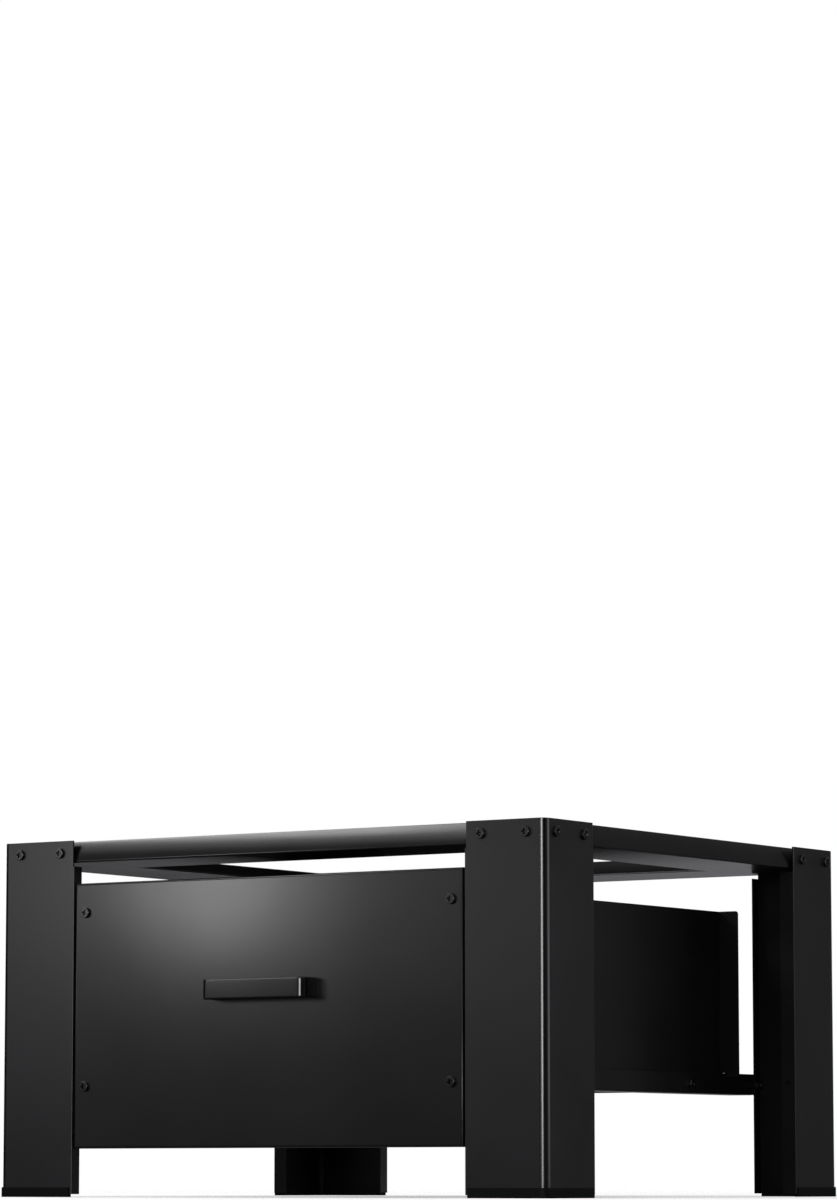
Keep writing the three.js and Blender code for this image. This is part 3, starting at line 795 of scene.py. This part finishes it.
GLIDE_BASE = 1 * MM
GLIDE_UPRIGHT = 2.7 * MM
GLIDE_UPRIGHT_INSET = 0.3 * MM
GLIDE_STOP_RISE = 0.3 * MM
GLIDE_EDGE = 0.25 * MM
DRILL_LENGTH = 12 * MM


def make_glide_nylon():
    """Black nylon 6 from a polished mould. It gives a soft sheen with flow marks
    some 6 mm long along the drawer's way, from filling and from rubbing."""
    material, tree, shader = new_material("moulded_black_nylon")
    place = add_node(tree, "TexCoord", {}).outputs["Object"]
    along = add_node(tree, "Mapping", {"Vector": place, "Scale": (1, 0.15, 1)})
    marks = add_node(
        tree,
        "TexNoise",
        {"Vector": along.outputs["Vector"], "Scale": 1 / (1 * MM), "Detail": 3.0},
    )
    tone = add_node(tree, "ValToRGB", {"Fac": marks.outputs["Fac"]})
    tone.color_ramp.elements[0].color = to_linear("#0a0b0c")
    tone.color_ramp.elements[1].color = to_linear("#101113")
    gloss = add_node(
        tree, "MapRange", {"Value": marks.outputs["Fac"], "To Min": 0.34, "To Max": 0.5}
    )
    bump = add_node(
        tree, "Bump", {"Height": marks.outputs["Fac"], "Strength": 0.2, "Distance": 0.02 * MM}
    )
    tree.links.new(tone.outputs["Color"], shader.inputs["Base Color"])
    tree.links.new(gloss.outputs[0], shader.inputs["Roughness"])
    tree.links.new(bump.outputs["Normal"], shader.inputs["Normal"])
    shader.inputs["IOR"].default_value = 1.53
    return material


def make_glide(low, high, runner_web, has_stop):
    """The left glide: its base, with the edge beside the drawer pulled up."""
    upright_outer = runner_web + RUNNER_SHEET + GLIDE_UPRIGHT_INSET
    upright_inner = upright_outer + GLIDE_UPRIGHT
    base_top = low.z + GLIDE_BASE
    stop_bottom = runner_high.z + GLIDE_STOP_RISE
    margin = 0.1 * MM
    glide = add_block("first_glide", (upright_outer, low.y, low.z), (high.x, high.y, base_top))
    open_mesh(glide)
    bpy.ops.mesh.bisect(plane_co=(upright_inner, 0, 0), plane_no=(1, 0, 0))
    pick(lambda at: near(at.z, base_top) and at.x < upright_inner + margin)
    if has_stop:
        pull(z=stop_bottom - base_top)
        pull(z=high.z - stop_bottom)
        pick(lambda at: near(at.x, upright_outer) and at.z > stop_bottom - margin)
        pull(x=low.x - upright_outer)
    else:
        pull(z=high.z - base_top)
    face_outward(glide)
    return glide


glide_nylon = make_glide_nylon()
for end in ("front", "rear"):
    low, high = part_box(f"glide_{end}_left")
    first_glide = make_glide(low, high, runner_low.x, end == "front")
    start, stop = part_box(f"glide_screw_{end}_left")
    cut_away(first_glide, [add_drill((start + stop) / 2, "x", HOLE_RADIUS, DRILL_LENGTH)])
    for side, across in SIDES:
        glide = mirrored_copy(first_glide, f"moulded_glide_{end}_{side}", across, 1)
        soften(glide, GLIDE_EDGE)
        hand_over(glide, "stand", "glide_nylon", glide_nylon, f"glide_{end}_{side}")
    bpy.data.objects.remove(first_glide)

glide_screws = [
    (f"glide_screw_{corner}", WAYS[corner.split("_")[1]]) for corner, _, _ in CORNERS
]
add_screws(glide_screws, "stand", *FRAME_SCREW)

# ---- Drawer front -------------------------------------------------------------
# A pan of 1.5 mm steel with its four edges folded back, powder coated black. It
# hangs flush with the legs, and four screws hold it to the drawer's sides.

PANEL_SHEET = 1.5 * MM
PANEL_BEND = 2.5 * MM
PANEL_EDGE = 0.25 * MM
HANDLE_SCREW_HOLE = 1.8 * MM


def make_panel(low, high):
    """A block that loses its rear face, gets round front edges and becomes a pan."""
    panel = add_block("coated_drawer_front", low, high)
    open_mesh(panel)
    pick(lambda at: near(at.y, high.y))
    bpy.ops.mesh.delete(type="ONLY_FACE")
    pick(lambda at: near(at.y, low.y))
    bpy.ops.mesh.bevel(offset=PANEL_BEND, segments=BEND_SEGMENTS, affect="EDGES")
    face_outward(panel)
    use_modifier(panel, "SOLIDIFY", thickness=PANEL_SHEET, offset=-1, use_even_offset=True)
    face_outward(panel)
    return panel


panel_low, panel_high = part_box("drawer_front")
panel = make_panel(panel_low, panel_high)
PANEL_SCREWS = [
    (f"drawer_front_screw_{side}_{level}", WAYS["front"])
    for side in ("left", "right")
    for level in ("upper", "lower")
]
panel_drills = []
for node, _ in PANEL_SCREWS:
    start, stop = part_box(node)
    panel_drills.append(add_drill((start + stop) / 2, "y", HOLE_RADIUS, DRILL_LENGTH))
for side, _ in SIDES:
    start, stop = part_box(f"handle_screw_{side}")
    middle = (start + stop) / 2
    middle.y = panel_low.y
    panel_drills.append(add_drill(middle, "y", HANDLE_SCREW_HOLE, 6 * PANEL_SHEET))
cut_away(panel, panel_drills)
soften(panel, PANEL_EDGE)
hand_over(panel, "drawer", "black_coat", glossy_coat, "drawer_front")
add_screws(PANEL_SCREWS, "drawer", *FRAME_SCREW)

# ---- Handle -------------------------------------------------------------------
# A flat bow of die-cast zinc, powder coated with the rest. Its foot at each end
# is tapped, and a screw from inside the drawer holds it.

HANDLE_BAR = 5 * MM
HANDLE_BEND = 7.5 * MM
HANDLE_INNER_BEND = 2.5 * MM
HANDLE_ROUND = 1.5 * MM
HANDLE_EDGE = 0.4 * MM
HANDLE_TAP_RADIUS = 1.65 * MM
HANDLE_TAP_LENGTH = 20 * MM
HANDLE_SCREW = (3 * MM, 1.8 * MM, 1.5 * MM)

handle_low, handle_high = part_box("drawer_handle")
handle = add_block("coated_handle", handle_low, handle_high + Vector((0, HANDLE_BAR, 0)))
open_mesh(handle)
for end_x in (handle_low.x, handle_high.x):
    pick(lambda at: near(at.x, end_x) and near(at.y, handle_low.y))
    bpy.ops.mesh.bevel(offset=HANDLE_BEND, segments=BEND_SEGMENTS, affect="EDGES")
for edge_z in (handle_low.z, handle_high.z):
    pick(lambda at: near(at.z, edge_z))
    bpy.ops.mesh.bevel(offset=HANDLE_ROUND, segments=4, affect="EDGES")
bpy.ops.object.mode_set(mode="OBJECT")
saw_off(handle, (0, handle_high.y, 0), (0, 1, 0))
finger_gap = add_block(
    "finger_gap",
    (handle_low.x + HANDLE_BAR, handle_low.y + HANDLE_BAR, handle_low.z - HANDLE_BAR),
    (handle_high.x - HANDLE_BAR, handle_high.y + HANDLE_BAR, handle_high.z + HANDLE_BAR),
)
open_mesh(finger_gap)
for end_x in (handle_low.x + HANDLE_BAR, handle_high.x - HANDLE_BAR):
    pick(lambda at: near(at.x, end_x) and near(at.y, handle_low.y + HANDLE_BAR))
    bpy.ops.mesh.bevel(offset=HANDLE_INNER_BEND, segments=4, affect="EDGES")
handle_tools = [finger_gap]
handle_screws = []
for side, _ in SIDES:
    node = f"handle_screw_{side}"
    start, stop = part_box(node)
    middle = (start + stop) / 2
    middle.y = handle_high.y
    handle_tools.append(add_drill(middle, "y", HANDLE_TAP_RADIUS, HANDLE_TAP_LENGTH))
    handle_screws.append((node, WAYS["rear"]))
cut_away(handle, handle_tools)
soften(handle, HANDLE_EDGE)
handle_coat = make_powder_coat("semigloss_black_die_cast_coat", 0.17, 0.2, sheen=0.42)
hand_over(handle, "drawer", "black_coat", handle_coat, "drawer_handle")
add_screws(handle_screws, "drawer", *HANDLE_SCREW)

# ---- Drawer box ---------------------------------------------------------------
# Two bent sides, a flat floor and a flat back, of 1.2 mm steel, spot welded and
# powder coated black. The back reaches over the runners in two hooked ears.

BOX_SHEET = 1.2 * MM
BOX_SKIN = BOX_SHEET / 2
BOX_BEND = 1.2 * MM
BOX_FRONT_FLANGE = 26 * MM
BOX_REAR_FLANGE = 12 * MM
BOX_BOTTOM_FLANGE = 18 * MM
BOX_TAB_DROP = 10 * MM
BOX_RELIEF = 12 * MM
BOX_CORNER = 1.8 * MM
BOX_EDGE = 0.2 * MM
FLOOR_TONGUE_GAP = 0.5 * MM
EAR_CORNER = 3 * MM
EAR_HOOK = 4 * MM
EAR_GAP_ABOVE = 0.1 * MM
EAR_GAP_BESIDE = 0.8 * MM


def unite(piece, others):
    """Joins other pieces to one, as one skin, and deletes them."""
    for other in others:
        use_modifier(piece, "BOOLEAN", operation="UNION", solver="EXACT", object=other)
        bpy.data.objects.remove(other)


def make_box_side(low, high):
    """The left side: wall with front and rear flanges, bottom flange and tab."""
    underside = low.z + BOX_TAB_DROP
    wall_x = low.x + BOX_SKIN
    front_y, rear_y = low.y + BOX_SKIN, high.y - BOX_SKIN
    bend_top = underside + 2 * BOX_CORNER
    wall_bottom = underside + BOX_CORNER
    wall = add_plane("first_side", (wall_x, front_y, wall_bottom), (wall_x, rear_y, high.z))
    open_mesh(wall)
    pick(lambda at: near(at.y, front_y))
    pull(x=BOX_FRONT_FLANGE - BOX_SKIN)
    pick(lambda at: near(at.y, rear_y))
    pull(x=BOX_REAR_FLANGE - BOX_SKIN)
    round_bend(lambda at: near(at.x, wall_x) and near(at.y, front_y), BOX_BEND)
    round_bend(lambda at: near(at.x, wall_x) and near(at.y, rear_y), BOX_BEND)
    give_thickness(wall, BOX_SHEET)

    flange_z = underside + BOX_SKIN
    start_y, end_y = low.y + BOX_RELIEF, high.y - 2 * BOX_CORNER
    flange = add_plane("flange", (wall_x, start_y, flange_z), (wall_x, end_y, bend_top))
    open_mesh(flange)
    pick(lambda at: near(at.z, flange_z))
    pull(x=BOX_BOTTOM_FLANGE - BOX_SKIN)
    round_bend(lambda at: near(at.z, flange_z) and near(at.x, wall_x), BOX_BEND)
    give_thickness(flange, BOX_SHEET)

    tab = add_block(
        "tab",
        (low.x + BOX_CORNER, low.y, low.z),
        (low.x + BOX_FRONT_FLANGE, low.y + BOX_SHEET, bend_top),
    )
    unite(wall, [flange, tab])
    return wall


side_low, side_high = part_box("drawer_side_left")
first_side = make_box_side(side_low, side_high)
side_drills = []
for node, _ in PANEL_SCREWS[:2]:
    start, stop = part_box(node)
    side_drills.append(add_drill((start + stop) / 2, "y", HOLE_RADIUS, DRILL_LENGTH))
cut_away(first_side, side_drills)
for side, across in SIDES:
    box_side = mirrored_copy(first_side, f"coated_drawer_side_{side}", across, 1)
    soften(box_side, BOX_EDGE)
    # Softening leaves a few points just under the bottom flange: they go back up.
    open_mesh(box_side)
    underside = side_low.z + BOX_TAB_DROP
    pick(lambda at: at.z < underside and at.y > side_low.y + BOX_RELIEF)
    bpy.ops.transform.resize(value=(1, 1, 0), center_override=(0, 0, underside))
    bpy.ops.object.mode_set(mode="OBJECT")
    hand_over(box_side, "drawer", "black_coat", satin_coat, f"drawer_side_{side}")
bpy.data.objects.remove(first_side)

floor_low, floor_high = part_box("drawer_floor")
drawer_floor = add_block("coated_drawer_floor", floor_low, floor_high)
tongue_end = floor_low.y + BOX_RELIEF
tongue_x = side_low.x + BOX_FRONT_FLANGE + FLOOR_TONGUE_GAP
over = 2 * MM
corner_spans = [(floor_low.x - over, tongue_x), (-tongue_x, floor_high.x + over)]
floor_tools = [
    add_block(
        "floor_corner",
        (start_x, floor_low.y - over, floor_low.z - over),
        (end_x, tongue_end, floor_high.z + over),
    )
    for start_x, end_x in corner_spans
]
cut_away(drawer_floor, floor_tools)
soften(drawer_floor, BOX_EDGE)
hand_over(drawer_floor, "drawer", "black_coat", satin_coat, "drawer_floor")

back_low, back_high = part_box("drawer_back")
drawer_back = add_block("coated_drawer_back", back_low, back_high)
ear_z = runner_high.z + EAR_GAP_ABOVE
ear_tip_z = runner_high.z - EAR_HOOK
ear_inner_x = runner_low.x - EAR_GAP_BESIDE
# For the left and the right ear: the x-spans to clear under it and over the runner.
ear_spans = [
    ((back_low.x - over, side_low.x), (ear_inner_x, side_low.x)),
    ((-side_low.x, back_high.x + over), (-side_low.x, -ear_inner_x)),
]
back_tools = []
for (start_x, end_x), (slot_start_x, slot_end_x) in ear_spans:
    under_ear = add_block(
        "under_ear",
        (start_x, back_low.y - over, back_low.z - over),
        (end_x, back_high.y + over, ear_tip_z),
    )
    over_runner = add_block(
        "over_runner",
        (slot_start_x, back_low.y - 2 * over, ear_tip_z - over),
        (slot_end_x, back_high.y + 2 * over, ear_z),
    )
    back_tools += [under_ear, over_runner]
cut_away(drawer_back, back_tools)
open_mesh(drawer_back)
for end_x in (back_low.x, back_high.x):
    pick(lambda at: near(at.x, end_x) and near(at.z, back_high.z))
    bpy.ops.mesh.bevel(offset=EAR_CORNER, segments=6, affect="EDGES")
soften(drawer_back, BOX_EDGE)
# The back's dull, dark coat is painted shade, as the back lies deep inside the stand.
hand_over(drawer_back, "drawer", "black_coat", painted_shade_coat, "drawer_back")

# ---- Floor, cards, lamps and world --------------------------------------------
# A pale floor keeps the shadow and turns white for the camera. Black, grey and bright cards that
# glow and that only gloss can see stand round the object, as in a studio: they are painted
# reflections, which give its flat black faces their soft gradients.

FLOOR_REACH = 2.2
FLOOR_GLOW = 0.42
FADE_START = 0.45 * FLOOR_REACH
FADE_END = 0.95 * FLOOR_REACH
WORLD_LIGHT = 0.45
GLOW_LAMP_PLACE = (-0.651, -1.078, 0.380)
GLOW_LAMP_AIM = (-0.062, -0.264, 0.315)
STRIP_LAMP_PLACE = (1.651, -5.082, 0.5)
TOP_LAMP_PLACE = (-1.4, -1.25, 1.62)
BACK_LAMP_PLACE = (0.6, 1.6, 2.4)
LAMP_AIM = (0, 0, 0.2)
FILM_PLACE = (-0.886, -1.597)
FILM_HEIGHT = 1.05
FILM_WIDTH = 1.6
# How bright the film is at each share of its height, and at its left and right.
FILM_TONES = [
    (0, 0.21), (0.14, 0.26), (0.28, 0.55), (0.4, 1.25), (0.5, 1.2), (0.6, 0.12), (1, 0.1)
]
FILM_LEFT, FILM_RIGHT = 1.1, 0.55
FILM_FADE_REACH = 0.3
CARD_LIFT = 0.4 * MM
CARD_REACH = 14
CARD_SEAM = 0.3


def seen_as_background(tree):
    """1 for camera, glossy and transmission rays, which see the white background."""
    path = add_node(tree, "LightPath", {}).outputs
    shown = add_node(
        tree, "Math", {0: path["Is Camera Ray"], 1: path["Is Glossy Ray"]}, operation="MAXIMUM"
    )
    both = add_node(
        tree, "Math", {0: shown.outputs[0], 1: path["Is Transmission Ray"]}, operation="MAXIMUM"
    )
    return both.outputs[0]


def show(tree, shading):
    """Links another node to the material's output, in the shader's place."""
    output = next(node for node in tree.nodes if node.type == "OUTPUT_MATERIAL")
    tree.links.new(shading.outputs[0], output.inputs["Surface"])


def make_studio_floor():
    """Matt white paper. It gives a soft shadow near the feet and fades into the
    white background further out. Its fibres are drawn 3 mm apart, coarser than
    real ones, which would be too fine to show."""
    material, tree, shader = new_material("matt_white_paper")
    place = add_node(tree, "TexCoord", {}).outputs["Object"]
    fibre = add_node(tree, "TexNoise", {"Vector": place, "Scale": 1 / (3 * MM), "Detail": 2.0})
    tone = add_node(tree, "ValToRGB", {"Fac": fibre.outputs["Fac"]})
    tone.color_ramp.elements[0].color = to_linear("#f2f2f2")
    tone.color_ramp.elements[1].color = to_linear("#f6f6f6")
    tree.links.new(tone.outputs["Color"], shader.inputs["Base Color"])
    shader.inputs["Roughness"].default_value = 0.9
    shader.inputs["Specular IOR Level"].default_value = 0.1
    lift = add_node(tree, "Emission", {"Color": (1, 1, 1, 1), "Strength": FLOOR_GLOW})
    black = add_node(tree, "Emission", {"Color": (0, 0, 0, 1), "Strength": 0.0})
    added = add_node(
        tree,
        "MixShader",
        {"Fac": seen_as_background(tree), 1: black.outputs[0], 2: lift.outputs[0]},
    )
    paper = add_node(tree, "AddShader", {0: shader.outputs[0], 1: added.outputs[0]})
    clear = add_node(tree, "BsdfTransparent", {})
    distance = add_node(tree, "VectorMath", {0: place}, operation="LENGTH")
    fade = add_node(
        tree,
        "MapRange",
        {
            "Value": distance.outputs["Value"],
            "From Min": FADE_START,
            "From Max": FADE_END,
        },
        interpolation_type="SMOOTHSTEP",
    )
    whole = add_node(
        tree, "MixShader", {"Fac": fade.outputs[0], 1: paper.outputs[0], 2: clear.outputs[0]}
    )
    show(tree, whole)
    return material


def make_card_paint(name, grey):
    """It glows with a fixed grey, a little cool, so that it needs no light and looks even in the
    gloss: a painted reflection of a studio card, or of a softbox's lit cloth."""
    material, tree, _ = new_material(name)
    show(tree, add_node(tree, "Emission", {"Color": (grey, grey, grey * 1.05, 1)}))
    return material


def make_film(name):
    """A painted reflection of frosted film lit from behind, though no lamp stands behind it: it
    glows with a soft bright band over a dark foot, which fades out to the right."""
    material, tree, _ = new_material(name)
    place = add_node(tree, "TexCoord", {}).outputs["Object"]
    at = add_node(tree, "SeparateXYZ", {"Vector": place}).outputs
    height = add_node(tree, "MapRange", {"Value": at["Z"], "From Max": FILM_HEIGHT})
    tone = add_node(tree, "ValToRGB", {"Fac": height.outputs[0]})
    stops = tone.color_ramp.elements
    for share, _ in FILM_TONES[1:-1]:
        stops.new(share)
    for stop, (share, bright) in zip(stops, FILM_TONES):
        stop.color = (bright, bright, bright * 1.03, 1)
    across = add_node(
        tree,
        "MapRange",
        {
            "Value": at["X"],
            "From Min": FILM_PLACE[0] - FILM_FADE_REACH,
            "From Max": FILM_PLACE[0] + FILM_FADE_REACH,
            "To Min": FILM_LEFT,
            "To Max": FILM_RIGHT,
        },
    )
    film = add_node(
        tree, "Emission", {"Color": tone.outputs["Color"], "Strength": across.outputs[0]}
    )
    show(tree, film)
    return material


def add_card(name, low, high, paint, turn=0):
    """A card that only glossy rays see. `turn` swings it about its middle."""
    card = add_plane(name, low, high)
    if turn:
        middle = (Vector(low) + Vector(high)) / 2
        spin = Matrix.Rotation(math.radians(turn), 4, "Z")
        card.data.transform(Matrix.Translation(middle) @ spin @ Matrix.Translation(-middle))
    card.data.materials.append(paint)
    card.visible_camera = False
    card.visible_diffuse = False
    card.visible_transmission = False
    card.visible_shadow = False


def add_lamp(name, place, aim, size, power, shape="RECTANGLE", height=None):
    """An area lamp of a size in metres and a power in watts, turned to its aim."""
    bpy.ops.object.light_add(type="AREA", location=place)
    lamp = bpy.context.object
    lamp.name = name
    lamp.rotation_euler = (Vector(aim) - Vector(place)).to_track_quat("-Z", "Y").to_euler()
    lamp.data.shape = shape
    lamp.data.size = size
    if height:
        lamp.data.size_y = height
    lamp.data.energy = power
    lamp.visible_camera = False


start_fresh()
bpy.ops.mesh.primitive_circle_add(vertices=96, radius=FLOOR_REACH, fill_type="NGON")
studio_floor = bpy.context.object
studio_floor.name = "studio_floor"
studio_floor.data.materials.append(make_studio_floor())

# Grey and pale cards lie on the floor, a pale one hangs overhead, and grey ones stand to the
# right with a glowing softbox card between them, which is no lamp but a painted reflection. Black
# ones stand behind the camera and to the left. The glowing film at the front left, also a painted
# reflection, gives the flat front its fade from light to dark.
pale_paint = make_card_paint("pale_card_paint", 0.4)
grey_paint = make_card_paint("grey_card_paint", 0.1)
black_paint = make_card_paint("black_card_paint", 0.01)
# The softbox glows on its own and is no lamp: painted light that only gloss sees.
softbox_glow_paint = make_card_paint("softbox_glow_paint", 1.7)
left, right = -CARD_REACH, CARD_REACH
near_edge, far_edge = -CARD_REACH, CARD_REACH
add_card(
    "front_floor_card", (left, near_edge, CARD_LIFT), (right, CARD_SEAM, CARD_LIFT), grey_paint
)
add_card("rear_floor_card", (0, CARD_SEAM, CARD_LIFT), (right, far_edge, CARD_LIFT), grey_paint)
add_card("pale_floor_card", (left, CARD_SEAM, CARD_LIFT), (0, far_edge, CARD_LIFT), pale_paint)
add_card("ceiling_card", (-3, -3, 3), (3, 3, 3), pale_paint)
add_card("right_card", (2.1, 1.5, 0), (2.1, 12, 4), grey_paint)
add_card("camera_card", (1.36, -2.56, 0), (3.36, -2.56, 1.3), black_paint, turn=43)
add_card("side_card", (3.1, -1.95, 0), (3.1, -0.17, 1.5), grey_paint)
add_card("side_softbox_glow", (2.1, -0.02, 0), (2.1, 1.25, 1.2), softbox_glow_paint)
add_card("left_card", (-1.6, -1.1, 0), (-1.6, 4, 2), black_paint)
film_x, film_y = FILM_PLACE
add_card(
    "front_glow_film",
    (film_x - FILM_WIDTH / 2, film_y, 0),
    (film_x + FILM_WIDTH / 2, film_y, FILM_HEIGHT),
    make_film("painted_film_glow"),
    turn=-CAMERA_TURN,
)

add_lamp("glow_lamp", GLOW_LAMP_PLACE, GLOW_LAMP_AIM, size=0.2, power=0.6, shape="DISK")
add_lamp("strip_lamp", STRIP_LAMP_PLACE, LAMP_AIM, size=1.9, power=86, height=0.95)
add_lamp("top_lamp", TOP_LAMP_PLACE, LAMP_AIM, size=1.2, power=13.5, height=0.4)
add_lamp("back_lamp", BACK_LAMP_PLACE, LAMP_AIM, size=1.6, power=8, height=1.0)

world = bpy.data.worlds.new("white_studio")
world.use_nodes = True
bpy.context.scene.world = world
sky = world.node_tree
sky.nodes.clear()
world_output = sky.nodes.new("ShaderNodeOutputWorld")
backdrop = add_node(sky, "Background", {"Color": (1, 1, 1, 1), "Strength": 1.0})
fill = add_node(sky, "Background", {"Color": (1, 1, 1, 1), "Strength": WORLD_LIGHT})
mixed = add_node(
    sky, "MixShader", {"Fac": seen_as_background(sky), 1: fill.outputs[0], 2: backdrop.outputs[0]}
)
sky.links.new(mixed.outputs[0], world_output.inputs["Surface"])

bpy.context.scene.view_settings.view_transform = "Standard"
